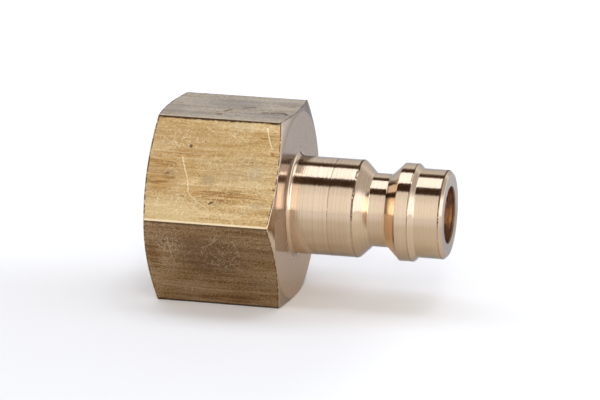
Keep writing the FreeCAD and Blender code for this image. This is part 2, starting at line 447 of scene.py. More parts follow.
place, radius, _ = bench.parts(sampled("FLOAT_VECTOR", bench.node("GeometryNodeInputPosition")))
shaped_by, bar_end, edge_turn = (
    sampled("FLOAT", named(name)) for name in ("shaped_by", "bar_end", "edge_turn")
)
print("each row knows its point of the section, what shaped it, and its end of the bar")

# %% The hexagon: a flat's distance, or the rounding where two flats meet
flat_radius, corner_radius = given["Flat Radius"], given["Corner Radius"]
off_flat = swing.maths("ABSOLUTE")
on_flat = flat_radius / swing.maths("COSINE")

from_corner = half_side - off_flat
rounding_centre = (flat_radius - corner_radius) / math.cos(half_side)
miss = rounding_centre * from_corner.maths("SINE")
on_rounding = rounding_centre * from_corner.maths("COSINE") + (
    (corner_radius * corner_radius - miss * miss).maths("MAXIMUM", 0.0).maths("SQRT")
)
rounding_begins = (flat_radius - corner_radius) * math.tan(half_side)
past_flat = (off_flat.maths("TANGENT") * flat_radius).maths("GREATER_THAN", rounding_begins)
hexagon = choose(past_flat, on_flat, on_rounding)
widest = (FLAT_RADIUS - sizes["Corner Radius"]) / math.cos(half_side) + sizes["Corner Radius"]
print(f"the hexagon measures {widest / MM * 2:.2f} mm over its rounded corners")

# %% The bar's end edge: deeper where the hexagon is wider, and soft
end_angle, soft = given["End Angle"], given["Edge Rounding"]
cut_back = (hexagon - given["End Face Radius"]) * end_angle.maths("TANGENT")
towards_cone = ((1 - edge_turn) / 2) ** 2 * soft
towards_flat = ((1 + edge_turn) / 2) ** 2 * soft
bar_place = place + bar_end * (towards_cone * end_angle.maths("SINE") - towards_flat - cut_back)
bar_radius = hexagon - towards_cone * end_angle.maths("COSINE")
deepest = (widest - END_FACE_RADIUS) * math.tan(END_ANGLE)
print(f"the end cone reaches {deepest / MM:.2f} mm along the hexagon's corners")

# %% The thread: forward by a pitch each turn, and cut no deeper than its profile
pitch = given["Thread Pitch"]
turned = direction / math.tau
wound = (place + pitch * turned).clamp(given["Thread Start"], given["Thread End"])
phase = (wound - given["Thread Start"]) / pitch - turned
from_groove = ((phase + 0.5).maths("FRACT") - 0.5).maths("ABSOLUTE") * pitch
flank = (pitch / 4 - from_groove) / given["Thread Flank"].maths("TANGENT") + given["Pitch Radius"]
run_out = (wound - given["Run Out Start"]).maths("MAXIMUM", 0.0) * given["Run Out Slope"]
thread_radius = flank.maths("MINIMUM", given["Major Radius"]) - run_out
countersink = given["Mouth Radius"] + given["Port Face"] - wound
tapped_radius = countersink.maths("MAXIMUM", given["Drill Radius"]).maths("MAXIMUM", thread_radius)
print(f"the thread is {(MAJOR_RADIUS - DRILL_RADIUS) / MM:.2f} mm deep")

# %% Place the grid's points
by_tap = shaped_by.maths("GREATER_THAN", BY_TAP - 0.5)
by_die = shaped_by.maths("GREATER_THAN", BY_DIE - 0.5)
final_place = choose(by_die, choose(by_tap, place, wound), bar_place)
final_radius = choose(by_die, choose(by_tap, radius, tapped_radius), bar_radius)
around = bench.vector(
    final_place,
    final_radius * direction.maths("COSINE"),
    final_radius * direction.maths("SINE"),
)
as_drawn = by_die * edge_turn.maths("GREATER_THAN", 0.9)
print("every point of the grid has its place on the plug")

# %% Close the skin, and give the faces that the die left a finish of their own
SEAM = 0.0004 * MM                       # points closer than this are the same point

body = bench.node("GeometryNodeSetPosition", None, {"Geometry": grid, "Position": around})
body = bench.node(
    "GeometryNodeStoreNamedAttribute",
    {"data_type": "FLOAT"},
    {"Geometry": body, "Name": "as_drawn", "Value": as_drawn},
)
body = bench.node("GeometryNodeMergeByDistance", None, {"Geometry": body, "Distance": SEAM})
body = bench.node("GeometryNodeSetShadeSmooth", None, {"Geometry": body})
body = bench.node("GeometryNodeRealizeInstances", None, {"Geometry": body})
all_faces = {"Geometry": body, "Material": given["Turned Finish"]}
body = bench.node("GeometryNodeSetMaterial", None, all_faces)
wholly_drawn = named("as_drawn").maths("GREATER_THAN", 0.99)
flat_faces = {"Geometry": body, "Selection": wholly_drawn, "Material": given["Drawn Finish"]}
body = bench.node("GeometryNodeSetMaterial", None, flat_faces)
bench.node("NodeGroupOutput", None, {"Geometry": body})
print(len(tree.nodes), "nodes in the tree")

# %% Run it once and keep the mesh
modifier = plug.modifiers.new("turn_the_section", "NODES")
modifier.node_group = tree
for name, value in sizes.items():
    modifier[identifiers[name]] = value
evaluated = plug.evaluated_get(bpy.context.evaluated_depsgraph_get())
plug_mesh = bpy.data.meshes.new_from_object(evaluated)
plug.modifiers.remove(modifier)
plug.data = plug_mesh
plug_mesh.name = "plug"
plug_mesh.attributes.remove(plug_mesh.attributes["as_drawn"])
print(f"{len(plug_mesh.vertices)} points and {len(plug_mesh.polygons)} faces in one skin")

# %% [markdown]
# ## A finish for each flat that has a history
#
# Three of the flats have scratches, dents and stains in places of their own. One material with the
# marks of all three would work each mark out on every flat, and would be too long for the renderer. So
# each of these flats gets its own material. Which flat a face belongs to follows from the direction of
# the face's middle as seen from the axis.

# %% Give each flat with marks of its own a finish of its own
TOP, FRONT, LOWER = 1, 2, -3             # the flats are counted round the axis from +Y
top_flat = bpy.data.materials.new("top_flat")
front_flat = bpy.data.materials.new("front_flat")
lower_flat = bpy.data.materials.new("lower_flat")
marked_flats = {TOP: top_flat, FRONT: front_flat, LOWER: lower_flat}
finishes = [turned_brass, drawn_brass, *marked_flats.values()]


def finish_of(face):
    """The face's own material, or the material of the marked flat that it belongs to."""
    own = plug_mesh.materials[face.material_index]
    flat = math.floor(math.atan2(face.center.z, face.center.y) / SIDE)
    return marked_flats.get(flat, own) if own == drawn_brass else own


slots = [finishes.index(finish_of(face)) for face in plug_mesh.polygons]
plug_mesh.materials.clear()
for material in finishes:
    plug_mesh.materials.append(material)
plug_mesh.polygons.foreach_set("material_index", slots)
print("materials:", ", ".join(material.name for material in plug_mesh.materials))

# %% Measure the skin, which has to be closed and to hold a positive volume
skin = bmesh.new()
skin.from_mesh(plug_mesh)
open_edges = sum(not edge.is_manifold for edge in skin.edges)
triangles = sum(len(face.verts) - 2 for face in skin.faces)
print(f"{triangles} triangles, {open_edges} open edges, {skin.calc_volume(signed=True) / MM ** 3:.1f} mm3")
skin.free()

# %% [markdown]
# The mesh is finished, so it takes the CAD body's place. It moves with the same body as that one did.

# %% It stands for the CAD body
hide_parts("plug_body")
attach(plug, "root")
print("the plug stands for the CAD body, rides on the root and is brass")

# %% [markdown]
# ## Turned brass
#
# The tool leaves a groove each turn, so the marks on a turned surface depend on the place along the
# axis and on the radius, and never on the direction. One noise on those two numbers therefore rings the
# neck, the end faces and the cones alike. Below the axis the colour is painted browner, with fewer light
# rings. This is painted shade, which stands in for the darker table that the underside mirrors.

# %% Coordinates for the finishes, in millimetres
def finish_bench(material):
    """The material's bench, its shader, and the object's own coordinates in millimetres."""
    material.use_nodes = True
    made = Bench(material.node_tree)
    shader = material.node_tree.nodes["Principled BSDF"]
    place = made.node("ShaderNodeTexCoord", output="Object")
    scaled = {"Vector": place, "Scale": 1 / MM}
    in_mm = made.node("ShaderNodeVectorMath", {"operation": "SCALE"}, scaled)
    return made, shader, in_mm


def noise(made, vector, scale, detail, roughness=0.5):
    """Noise from 0 to 1, mostly near 0.5, with as many features to the unit as the scale says."""
    sockets = {"Vector": vector, "Scale": scale, "Detail": detail, "Roughness": roughness}
    return made.node("ShaderNodeTexNoise", None, sockets)


def blend(made, factor, first, second, mode="MIX"):
    """A mix of two colours. Sockets 6 and 7 are the colours, and output 2 is the result."""
    settings = {"data_type": "RGBA", "blend_type": mode}
    colours = [value if isinstance(value, Term) else (*value, 1.0) for value in (first, second)]
    sockets = {"Factor": factor, 6: colours[0], 7: colours[1]}
    return made.node("ShaderNodeMix", settings, sockets, output=2)


def connect(made, term, socket):
    """Links a term to a socket of a node that the tree already had."""
    made.tree.links.new(term.socket, socket)


print(f"the finishes count in units of {MM:g} m")

# %% Turned brass: the colour follows the tool's rings
BELOW_AXIS = 0.35                        # how much of the light rings is left below the axis
aged, painted_shade_brown = (0.645, 0.485, 0.34), (0.43, 0.30, 0.165)
ringed, specked = (0.72, 0.56, 0.41), (0.50, 0.34, 0.22)

made, shader, in_mm = finish_bench(turned_brass)
x, y, z = made.parts(in_mm)
radius = (y * y + z * z).maths("SQRT")
rings_at = made.vector(x, radius, 0.0)
fine = noise(made, rings_at, 11.0, 3.0, 0.7)
broad = noise(made, rings_at, 1.2, 2.0)
specks = noise(made, in_mm, 5.0, 4.0, 0.7)
# Painted shade: below the axis the colour turns browner and keeps fewer of its light rings.
upper_half = BELOW_AXIS + (1 - BELOW_AXIS) * z.rising(-0.5, 0.4)
colour = blend(made, upper_half, painted_shade_brown, aged)
colour = blend(made, fine.rising(0.35, 0.65) * upper_half, colour, ringed)
colour = blend(made, specks.rising(0.56, 0.70) * 0.35, colour, specked)
print("rings and specks:", len(made.tree.nodes), "nodes")

# %% Dark lines where the tool stopped, weaker below the axis, and a dark ring round the bore
EDGES = [                                # place along the axis, reach to each side, and strength
    (TOOL_MARK / MM, 0.035, 0.55),
    (shank_end / MM - 0.07, 0.09, 0.90),
    (collar_end / MM - 0.06, 0.04, 0.75),
    (TIP_FACE / MM - 0.31, 0.07, 0.90),
]
outside = radius.rising(3.0, 3.1)
broken_line = noise(made, in_mm, 3.2, 3.0, 0.7)
dirt_and_painted_light = 0.0
for place, reach, strength in EDGES:
    dirt_and_painted_light = (x.near(place, reach, 0.03) * strength).or_else(dirt_and_painted_light)
unbroken_at_tip = x.rising(13.0, 13.1) * z.rising(1.2, 2.4) * 0.9
dirt_and_painted_light = dirt_and_painted_light * outside * upper_half * broken_line.rising(0.33, 0.48).or_else(unbroken_at_tip)
dirt_and_painted_light = dirt_and_painted_light.or_else(radius.near(BORE_RADIUS / MM + 0.03, 0.07, 0.04) * x.rising(13.6, 13.7) * 0.8)
print("dark lines at x =", ", ".join(f"{place:.2f}" for place, _, _ in EDGES), "mm, and round the bore")

# %% Two burrs in the shoulder's fillet, as painted shadows: dark spots for burrs that the mesh doesn't have
BURR_SHADOWS = [((0.13, 0.85, 4.45), 0.36), ((0.52, -1.00, 4.28), 0.30)]      # centre and reach
for centre, reach in BURR_SHADOWS:
    away = made.node("ShaderNodeVectorMath", {"operation": "DISTANCE"}, {0: in_mm, 1: centre}, "Value")
    dirt_and_painted_light = dirt_and_painted_light.or_else(away.falling(0.5 * reach, reach) * broken_line.rising(0.30, 0.50, 0.7, 0.95))
print("burrs at x =", " and ".join(f"{centre[0]:.2f}" for centre, _ in BURR_SHADOWS), "mm")

# %% The shoulder's face: a satin cut with clouds in it, and a rim beside the bar's chamfer, darker towards the top
clouded, darker_rim_tone = (0.52, 0.39, 0.29), (0.34, 0.27, 0.21)
flat_face = x.near(SHOULDER / MM, 0.02, 0.02) * radius.rising(4.60, 4.75)
swirl = noise(made, made.vector(radius * 2.0, z.maths("ARCTAN2", y) * 1.1, 0.0), 3.0, 4.0, 0.7)
colour = blend(made, flat_face * swirl.rising(0.45, 0.75) * 0.45, colour, clouded)
rim = radius.rising(8.30, 8.38) * z.rising(-2.0, 3.0)
colour = blend(made, rim * 0.75, colour, darker_rim_tone)
# The rim darkens towards the back, and the face darkens towards the top.
dirt_and_painted_light = dirt_and_painted_light.or_else(rim * y.rising(0.5, 4.0) * 0.45)
dirt_and_painted_light = dirt_and_painted_light.or_else(flat_face * (swirl.rising(0.45, 0.85) * 0.18 + z.rising(-1.0, 3.0) * 0.18))
print("shoulder and its rim:", len(made.tree.nodes), "nodes")

# %% Inside the bore the drill left a dull copper-brown wall, with painted shade along its top and bottom
inside = radius.falling(BORE_RADIUS / MM - 0.05, BORE_RADIUS / MM + 0.06)
drilled = noise(made, made.vector(x * 3.0, y * 0.8, z * 0.8), 1.7, 4.0, 0.7)
wall = blend(made, drilled.rising(0.40, 0.60), (0.24, 0.05, 0.006), (1.0, 0.39, 0.08))
colour = blend(made, inside, colour, wall)
# Painted shade: the bore's wall darkens towards its top and bottom.
dirt_and_painted_light = dirt_and_painted_light.or_else(inside * z.maths("ABSOLUTE").rising(1.2, 2.3) * 0.92)
print("shoulder, rim and bore:", len(made.tree.nodes), "nodes")

# %% [markdown]
# A bump made from the rings tilts the metal towards the tip or the shoulder, but never round the axis.
# The edges of the light tent would then run along the neck as straight as a ruler. On a real neck they
# waver, because the tool chatters, and each ring leans a little to one side. So the normal is leant
# round the axis by a noise on the rings, before the bump adds its height.
#
# Specular Tint is the colour that a metal keeps where the light meets it at a slant. If it were white,
# the neck's upper and lower edges would shine like chrome. Worn brass is duller there.

# %% Roughness, chatter and relief
CHATTER = 0.10                           # how far a ring leans, as a slope, for noise from 0 to 1
RING_HEIGHT = 0.0045 * MM
AT_A_SLANT = (0.53, 0.57, 0.63)

connect(made, colour, shader.inputs["Base Color"])
shader.inputs["Metallic"].default_value = 1.0
fillet = x.near(0.15, 0.25, 0.10) * radius.near(4.6, 0.3, 0.1)
roughness = 0.07 + 0.08 * broad + 0.07 * flat_face + 0.42 * inside + 0.12 * fillet
connect(made, roughness, shader.inputs["Roughness"])
chatter = (noise(made, rings_at, 9.0, 3.0, 0.8) - 0.5) * (1 - flat_face) * CHATTER
round_it = made.vector(0.0, z / radius * -1.0, y / radius)
smooth = made.node("ShaderNodeNewGeometry", output="Normal")
sockets = {0: round_it, 1: chatter, 2: smooth}
leant = made.node("ShaderNodeVectorMath", {"operation": "MULTIPLY_ADD"}, sockets)
sockets = {"Height": fine + 0.25 * specks, "Distance": RING_HEIGHT, "Normal": leant}
connect(made, made.node("ShaderNodeBump", None, sockets), shader.inputs["Normal"])
shader.inputs["Specular Tint"].default_value = (*AT_A_SLANT, 1.0)
print(f"the rings stand up to {RING_HEIGHT / MM * 1000:.1f} thousandths of a millimetre high")

# %% [markdown]
# Dirt and painted shade are matt, so they stay dark where the metal below them would mirror the light. No
# colour of a metal does that. So they are a shader of their own, and a Mix Shader lays it over the metal
# where a mask says.
#
# Two thinner and lighter layers of painted reflection go on first, on the underside. There the shank and
# the shoulder mirror each other, and so do the two flanks of the groove. What such a pair of mirrors shows
# depends on every small lean of both faces, and this mesh has only some of those. Each layer stands in for
# the rest: it is a matt brown of about the tone that comes back, and some of the metal still shows through
# it.

# %% Painted reflections on the underside, and the dirt and painted shade over them
DIRT_AND_SHADE = (0.065, 0.033, 0.018)


def lay_matt(made, clean, amount, colour=DIRT_AND_SHADE):
    """Lays a matt layer over the shader below it, as the amount says, and gives the result."""
    dirt_and_painted_light = made.node("ShaderNodeBsdfDiffuse", None, {"Color": (*colour, 1.0)})
    mixed = made.node("ShaderNodeMixShader", None, {0: amount, 1: clean, 2: dirt_and_painted_light})
    connect(made, mixed, made.tree.nodes["Material Output"].inputs["Surface"])
    return mixed


def metal_of(made, shader):
    """The material's clean metal, as something to lay dirt on."""
    return Term(made, shader.outputs["BSDF"])


NECK_PAINTED_REFLECTION, SHOULDER_PAINTED_REFLECTION = 0.60, 0.38    # how much of the metal they cover
shoulder_tone, groove_tone = (0.50, 0.34, 0.21), (0.62, 0.345, 0.155)

underside = z.falling(0.48, 0.60) * outside
on_shank = radius.falling(SHANK_RADIUS / MM + 0.02, SHANK_RADIUS / MM + 0.10)
beside_shoulder = (x + 0.30 * z).falling(0.4, 1.3) * on_shank * underside * NECK_PAINTED_REFLECTION
beside_shoulder = beside_shoulder.or_else(flat_face * z.falling(0.0, 1.2) * SHOULDER_PAINTED_REFLECTION)
beside_collar = x.near(groove_end / MM + 0.46, 0.52, 0.24)
with_painted_reflections = metal_of(made, shader)
with_painted_reflections = lay_matt(made, with_painted_reflections, beside_shoulder, shoulder_tone)
with_painted_reflections = lay_matt(made, with_painted_reflections, beside_collar * underside * NECK_PAINTED_REFLECTION, groove_tone)
lay_matt(made, with_painted_reflections, dirt_and_painted_light)
print(f"{turned_brass.name}: {len(made.tree.nodes)} nodes")

# %% [markdown]
# ## Drawn brass
#
# The flats never met a cutter. The bar was pulled through a die, which drew fine lines along it, and
# then it lay in racks and bins, where it tarnished in clouds and was scratched by other bars. All of
# this lies flat on the sides, so it is worked out on each flat as on a sheet of paper: the place along
# the bar, and the place across the flat. One class is the sheet, and keeps the marks that are made on
# it. A function for each kind of mark then adds to the sheet, so that later cells can give each flat a
# history of its own, as a list of places.

# %% A flat as a sheet to draw on
HALF_FLAT = FLAT_RADIUS / MM * math.tan(SIDE / 2)
NEXT_NOISE = 7.3                         # how far each flat's noise lies from the next flat's


class Sheet:
    """The finish of one flat of the bar or, without a number, of any flat."""

    def __init__(self, material, flat=None):
        self.name = material.name
        self.made, self.shader, in_mm = finish_bench(material)
        self.x, self.y, self.z = self.made.parts(in_mm)
        if flat is None:
            flat = (self.z.maths("ARCTAN2", self.y) / SIDE).maths("FLOOR")
            facing = (flat + 0.5) * SIDE
            up, out = facing.maths("COSINE"), facing.maths("SINE")
        else:
            up, out = math.cos((flat + 0.5) * SIDE), math.sin((flat + 0.5) * SIDE)
        self.across = self.z * up - self.y * out
        self.place = self.made.vector(self.x, self.across, flat * NEXT_NOISE)
        self.marks = self.cuts = self.pits = self.rust = 0.0     # there's nothing on it yet

    def noise(self, along, across, detail, roughness, seed):
        """Noise on the sheet, stretched as the two scales say."""
        sockets = {0: self.place, 1: (along, across, 1.0), 2: (seed, 0.0, 0.0)}
        at = self.made.node("ShaderNodeVectorMath", {"operation": "MULTIPLY_ADD"}, sockets)
        return noise(self.made, at, 1.0, detail, roughness)

    def paint(self, factor, colour, mode="MIX"):
        """Adds a colour to the sheet, where the factor says."""
        self.colour = blend(self.made, factor, self.colour, colour, mode)


print(f"each sheet is {(SHOULDER - PORT_FACE) / MM:.1f} mm long and {HALF_FLAT * 2:.2f} mm wide")

# %% Two shapes that every mark is made of: a ragged oval and a bowed stroke
OVAL_END = 1.15                          # an oval has faded away here, as a share of its size


def seen_from(sheet, start, angle, long, wide):
    """Coordinates that count in lengths and widths of a mark, from its own place and angle."""
    sockets = {
        "Vector": sheet.made.vector(sheet.x, sheet.across, 0.0),
        "Location": (*start, 0.0),
        "Rotation": (0.0, 0.0, angle),
        "Scale": (long, wide, 1.0),
    }
    return sheet.made.node("ShaderNodeMapping", {"vector_type": "TEXTURE"}, sockets)


def oval(sheet, centre, angle, long, wide, torn, ragged, edge):
    """1 in the middle of a ragged oval, and 0 outside it."""
    local = seen_from(sheet, centre, angle, long, wide)
    far = sheet.made.node("ShaderNodeVectorMath", {"operation": "LENGTH"}, {0: local}, "Value")
    return (far + torn.maths("MULTIPLY_ADD", ragged, -ragged / 2)).falling(edge, OVAL_END)


def stroke(sheet, start, end, bow=0.0, width=0.08):
    """1 on a bowed line from start to end, and 0 beside it."""
    turn = math.atan2(end[1] - start[1], end[0] - start[0])
    local = seen_from(sheet, start, turn, math.dist(start, end), 1.0)
    along_it, beside_it, _ = sheet.made.parts(local)
    if bow:
        beside_it = beside_it - 4 * bow * along_it * (1 - along_it)
    return beside_it.maths("ABSOLUTE").falling(width * 0.4, width) * along_it.near(0.5, 0.5, 0.04)


print("marks are ovals and strokes")

# %% What every flat shares: bands, drawing lines, grain and clouds
DRAWN_STOPS = [                          # from the darkest tone to the lightest
    (0.37, (0.24, 0.13, 0.045)),
    (0.445, (0.46, 0.30, 0.125)),
    (0.505, (0.57, 0.41, 0.20)),
    (0.585, (0.76, 0.60, 0.37)),
]
MIDDLE_TONE = 0.48


def draw(sheet, contrast=1.0, bands=0.32, lines=0.28, specks=0.40):
    """The bare flat. Bands, lines and specks say how much each of its noises counts in the tone."""
    sheet.wide = sheet.noise(0.11, 1.8, 4.0, 0.6, seed=4.0)
    sheet.fine = sheet.noise(0.45, 8.0, 4.0, 0.75, seed=1.0)
    sheet.grain = sheet.noise(5.5, 8.0, 3.0, 0.75, seed=2.0)
    sheet.torn = sheet.noise(1.6, 4.0, 4.0, 0.7, seed=12.0)
    tone = bands * sheet.wide + lines * sheet.fine + specks * sheet.grain
    if contrast != 1.0:
        tone = tone.maths("MULTIPLY_ADD", contrast, MIDDLE_TONE * (1 - contrast))
    sheet.colour = sheet.made.node("ShaderNodeValToRGB", {"stops": DRAWN_STOPS}, {"Fac": tone})
    clouds = sheet.noise(0.30, 0.45, 3.0, 0.55, seed=9.0).rising(0.50, 0.68)
    sheet.paint(clouds * 0.35, (0.53, 0.43, 0.28))


print("the drawing lines run through", len(DRAWN_STOPS), "tones of brass")

# %% Stains and rust-coloured tarnish, with a place of their own
STAIN_EDGE = 0.45                        # where an oval starts to fade, as a share of its size


def stain(sheet, stains):
    """Stains: centre, length, width, raggedness, strength and colour."""
    for centre, long, wide, ragged, strength, colour in stains:
        spot = oval(sheet, centre, 0.0, long, wide, sheet.torn, ragged, STAIN_EDGE)
        sheet.paint(spot * strength, colour)


def tarnish(sheet, patches):
    """Orange-brown tarnish, which follows the drawing lines: centre, length, width, raggedness."""
    streaky = sheet.noise(0.35, 9.0, 4.0, 0.75, seed=31.0)
    for centre, long, wide, ragged in patches:
        patch = oval(sheet, centre, 0.0, long, wide, sheet.torn, ragged, STAIN_EDGE)
        sheet.rust = patch.or_else(sheet.rust)
    sheet.rust = sheet.rust * streaky.rising(0.42, 0.53, 0.25, 1.0)
    sheet.rust = sheet.rust * sheet.grain.rising(0.36, 0.50, 0.45, 1.0)
    orange, brown = (0.52, 0.30, 0.095), (0.25, 0.125, 0.035)
    tarnished = blend(sheet.made, streaky.rising(0.44, 0.58), orange, brown)
    sheet.paint(sheet.rust * 0.88, tarnished)


print("a stain's edge fades from", STAIN_EDGE, "of its size")

# %% [markdown]
# Hairline scratches are too many to place by hand. Each cell of a Voronoi pattern gets one: the cell's
# own random colour gives the angle and the bow of the line that runs through the cell's middle.

# %% Hairline scratches
def hairlines(sheet, cell, width, reach, seed, turn=1.0):
    """A line in each cell, with the cell and the width in millimetres and the reach in cells."""
    made = sheet.made
    sockets = {0: sheet.place, 1: (1 / cell, 1 / cell, 1.0), 2: (seed, 0.0, 0.0)}
    at = made.node("ShaderNodeVectorMath", {"operation": "MULTIPLY_ADD"}, sockets)
    middle = made.node("ShaderNodeTexVoronoi", None, {"Vector": at, "Scale": 1.0}, "Position")
    chance = Term(made, middle.socket.node.outputs["Color"])
    angle = made.node("ShaderNodeSeparateColor", None, {"Color": chance}, "Red")
    bend = Term(made, angle.socket.node.outputs["Green"])
    offset = made.node("ShaderNodeVectorMath", {"operation": "SUBTRACT"}, {0: at, 1: middle})
    spin = angle.maths("MULTIPLY_ADD", math.tau * turn, -math.pi * turn)
    sockets = {"Vector": offset, "Angle": spin}
    turned = made.node("ShaderNodeVectorRotate", {"rotation_type": "Z_AXIS"}, sockets)
    along_it, beside_it, _ = made.parts(turned)
    bowed = beside_it + (bend * 0.8 - 0.4) * along_it * along_it
    line = bowed.maths("ABSOLUTE").falling(width / cell * 0.4, width / cell)
    return line * along_it.maths("ABSOLUTE").falling(reach * 0.5, reach)


print("one hairline to a cell, at any angle")

# %% Wear: four sizes of hairline, the longest of which keep to the bar's direction
ALONG_THE_BAR = 0.12                     # the share of a full turn that their angles may take


def wear(sheet, rubbed=()):
    """Hairlines in worn patches, and most of them where the flat was rubbed."""
    worn = sheet.noise(0.35, 0.45, 2.0, 0.5, seed=17.0).rising(0.42, 0.62)
    for centre, long, wide in rubbed:
        rubbed_here = oval(sheet, centre, 0.0, long, wide, sheet.torn, 0.8, STAIN_EDGE)
        worn = worn.or_else(rubbed_here * 1.5)
    lines = hairlines(sheet, 1.0, 0.05, 0.5, 3.0).or_else(hairlines(sheet, 0.55, 0.045, 0.45, 8.0))
    lines = lines.or_else(hairlines(sheet, 0.40, 0.045, 0.4, 13.0))
    lines = lines.or_else(hairlines(sheet, 2.3, 0.06, 0.5, 21.0, ALONG_THE_BAR))
    sheet.marks = lines * worn * sheet.noise(3.0, 3.0, 2.0, 0.6, seed=5.0).rising(0.36, 0.58) * 0.6


print("hairlines 0.4 to 2.3 mm apart")

# %% Single scratches, and what all scratches show
def scratch(sheet, strength, strokes, deep=False):
    """Scratches: start, end, and their bow and width. Only the deep ones are felt by the relief."""
    cuts = 0.0
    for one in strokes:
        cuts = stroke(sheet, *one).or_else(cuts)
    sheet.marks = (cuts * strength).or_else(sheet.marks)
    if deep:
        sheet.cuts = cuts


def bare_marks(sheet, metal=(0.82, 0.69, 0.46)):
    """Scratches show clean metal, here brighter and there duller."""
    broken = sheet.noise(5.0, 5.0, 3.0, 0.6, seed=61.0)
    sheet.marks = sheet.marks * broken.rising(0.35, 0.60, 0.55, 1.0)
    sheet.paint(sheet.marks * 0.85, metal)


print("scratches cut through to clean metal")

# %% Pits and dents
PIT_EDGE = 0.25                          # a pit fades from nearer its middle than a stain does


def dig(sheet, pits):
    """Pits: centre, angle, length, width and depth."""
    for centre, angle, long, wide, depth in pits:
        pit = oval(sheet, centre, angle, long, wide, sheet.grain, 1.2, PIT_EDGE)
        sheet.pits = (pit * depth).or_else(sheet.pits)


def dent(sheet, strokes):
    """Long dents, drawn as strokes that the grain breaks up."""
    for one in strokes:
        bruise = stroke(sheet, *one) * sheet.grain.rising(0.34, 0.52, 0.4, 1.0)
        sheet.pits = bruise.or_else(sheet.pits)


print("pits and dents hold dirt, and are felt by the relief")

# %% [markdown]
# The borders of a flat wear in ways of their own, and carry painted light too. A dark line of dirt and
# painted shade runs along one corner. Along the next corner lies a light line, partly bare metal and
# partly a painted highlight; the lower flat has a dark line of painted shade there instead. The ends chip.
# The ends aren't straight, because the lathe's cone cuts further back towards the corners, so the distance
# from an end takes that cone off.

# %% The flat's borders
grime_and_shade_colour, bare_and_highlight = (0.06, 0.035, 0.02), (0.80, 0.67, 0.46)


def borders(sheet, dirt_and_painted_light, bare_and_highlight_amount, painted_corner_shade):
    """A line of dirt and painted shade along the corner on the minus side; along the other, a line of bare
    metal and painted highlight, and painted shade where asked; chipped ends.
    """
    across, x = sheet.across, sheet.x
    radius = (sheet.y * sheet.y + sheet.z * sheet.z).maths("SQRT")
    end_cut = (radius - END_FACE_RADIUS / MM) * math.tan(END_ANGLE)
    from_end = (x * -1.0).maths("MINIMUM", x - PORT_FACE / MM) - end_cut
    chipped = sheet.noise(2.4, 2.4, 4.0, 0.7, seed=50.0)
    ragged_end = from_end.falling(0.07, 0.18) * chipped.rising(0.44, 0.52)
    # Partly dirt and partly painted shade: a dark line along the corner on the minus side.
    dirt_and_shade_line = (across + 0.4 * chipped).falling(0.35 - HALF_FLAT, 0.48 - HALF_FLAT) * dirt_and_painted_light
    # Painted shade: a dark line along the corner on the plus side, where asked.
    if painted_corner_shade:
        dirt_and_shade_line = dirt_and_shade_line.or_else(across.rising(HALF_FLAT - 0.28, HALF_FLAT - 0.14) * painted_corner_shade)
    # Partly bare metal and partly a painted highlight: a light line along the corner on the plus side.
    edge = (across + 0.12 * chipped).rising(HALF_FLAT - 0.20, HALF_FLAT - 0.08)
    bright_end = from_end.falling(0.06, 0.11) * chipped.falling(0.42, 0.48)
    sheet.grime = dirt_and_shade_line.or_else(ragged_end)
    sheet.paint(sheet.grime * 0.90, grime_and_shade_colour)
    sheet.paint((edge * bare_and_highlight_amount).or_else(bright_end * 0.75), bare_and_highlight)


print("the corners gather dirt or lose it, and the ends chip")

# %% The flat's shade and relief
DRAWN_RELIEF = 0.014 * MM


def finish(sheet, dirt_and_painted_light=1.0, bare_and_highlight_amount=0.75, painted_corner_shade=0.0, at_a_slant=(0.63, 0.75, 0.99)):
    """Adds the borders, and makes all that was drawn on the sheet the finish of its flat."""
    borders(sheet, dirt_and_painted_light, bare_and_highlight_amount, painted_corner_shade)
    made, shader = sheet.made, sheet.shader
    connect(made, sheet.colour, shader.inputs["Base Color"])
    roughness = 0.40 - 0.14 * sheet.wide + 0.10 * sheet.rust - 0.12 * sheet.marks
    connect(made, roughness, shader.inputs["Roughness"])
    height = sheet.fine * 0.5 + sheet.grain * 0.35 - sheet.cuts * 0.8 - sheet.pits * 3.0
    bump = made.node("ShaderNodeBump", None, {"Height": height, "Distance": DRAWN_RELIEF})
    connect(made, bump, shader.inputs["Normal"])
    shader.inputs["Metallic"].default_value = 1.0
    shader.inputs["Specular Tint"].default_value = (*at_a_slant, 1.0)
    lay_matt(made, metal_of(made, shader), sheet.grime.or_else(sheet.pits) * 0.85)
    print(f"{sheet.name}: {len(made.tree.nodes)} nodes")


print(f"the drawing lines' relief is {DRAWN_RELIEF / MM * 1000:.0f} thousandths of a millimetre")

# %% [markdown]
# ## The flats' own histories
#
# With a word for each kind of mark, a flat's history is a list of places. The first number of a place is
# how far along the bar it lies, from 0 at the shoulder down to the open end. The second is how far it
# lies from the flat's middle line, less than 0 towards the corner above, or at the back of the top flat.
# Both are in millimetres.

# %% The three flats without a history, with painted shade below the axis
hidden = Sheet(drawn_brass)
draw(hidden)
wear(hidden)
bare_marks(hidden)
# Painted shade: the flats below the axis are darkened.
hidden.paint(hidden.z.falling(-1.5, -0.5), (0.56, 0.50, 0.52), "MULTIPLY")
finish(hidden)

